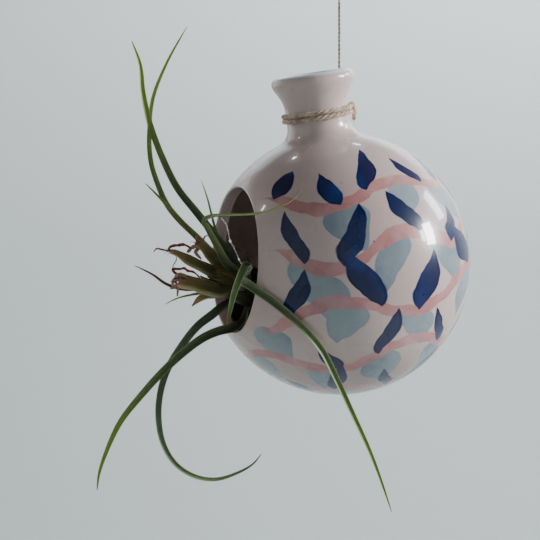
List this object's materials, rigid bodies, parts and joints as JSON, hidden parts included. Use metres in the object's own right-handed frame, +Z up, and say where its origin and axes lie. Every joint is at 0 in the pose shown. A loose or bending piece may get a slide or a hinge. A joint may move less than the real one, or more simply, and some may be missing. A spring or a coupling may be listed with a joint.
{
  "type": "hanging planter",
  "caption": "Round glazed ceramic hanging planter with a flared neck, a side mouth and an air plant, hung by a cord from a twine tied round its neck",
  "frame": {"origin": "Where a hook bears inside the top of the hanging loop.", "axes": "+Z up along the hanging cord, +X to the right and -Y towards the viewer in the pictured view; the side mouth faces -X."},
  "size_m": [0.1381, 0.0999, 0.2215],
  "materials": {
    "glazed_pot": "glossy glaze with brushed underglaze decoration",
    "jute_twine": "hairy twisted jute",
    "hanging_cord": "thin twisted cord",
    "plant_base": "overlapping dark leaf bases",
    "green_leaf": "satin channelled leaf with a pale bloom",
    "bract": "drying olive bract",
    "dry_leaf": "dry papery leaf"
  },
  "bodies": {
    "hanger": {"hanging_loop": "hanging_cord"},
    "knot": {"loop_knot": "hanging_cord"},
    "cord": {"hanging_cord": "hanging_cord"},
    "planter": {"globe_pot": "glazed_pot", "neck_binding": "jute_twine", "binding_tail": "jute_twine", "tie_knot": "jute_twine"},
    "plant": {"plant_base": "plant_base", "leaf_front_long": "green_leaf", "leaf_low_left": "green_leaf", "leaf_low_curled": "green_leaf", "leaf_bent_over": "green_leaf", "leaf_tall_left": "green_leaf", "leaf_tall_right": "green_leaf", "leaf_side_left": "green_leaf", "leaf_front_short": "green_leaf", "leaf_fine_upright": "green_leaf", "leaf_fine_low": "green_leaf", "bract_middle": "bract", "bract_lower": "bract", "bract_upper": "bract", "bract_bottom": "dry_leaf", "leaf_dry_left": "dry_leaf", "leaf_dry_inside": "dry_leaf"}
  },
  "joints": [
    {"name": "swing_to_and_fro", "type": "hinge", "parent": "hanger", "child": "knot", "pos_m": [0, 0, -0.024], "axis": [1, 0, 0], "range_deg": [-30, 30]},
    {"name": "swing_sideways", "type": "hinge", "parent": "knot", "child": "cord", "pos_m": [0, 0, -0.024], "axis": [0, 1, 0], "range_deg": [-30, 30]},
    {"name": "twist", "type": "hinge", "parent": "cord", "child": "planter", "pos_m": [0, 0, -0.072], "axis": [0, 0, 1], "continuous": true},
    {"name": "plant_pull", "type": "slide", "parent": "planter", "child": "plant", "axis": [-0.9289, -0.3376, 0.1524], "range_m": [0, 0.09]}
  ]
}
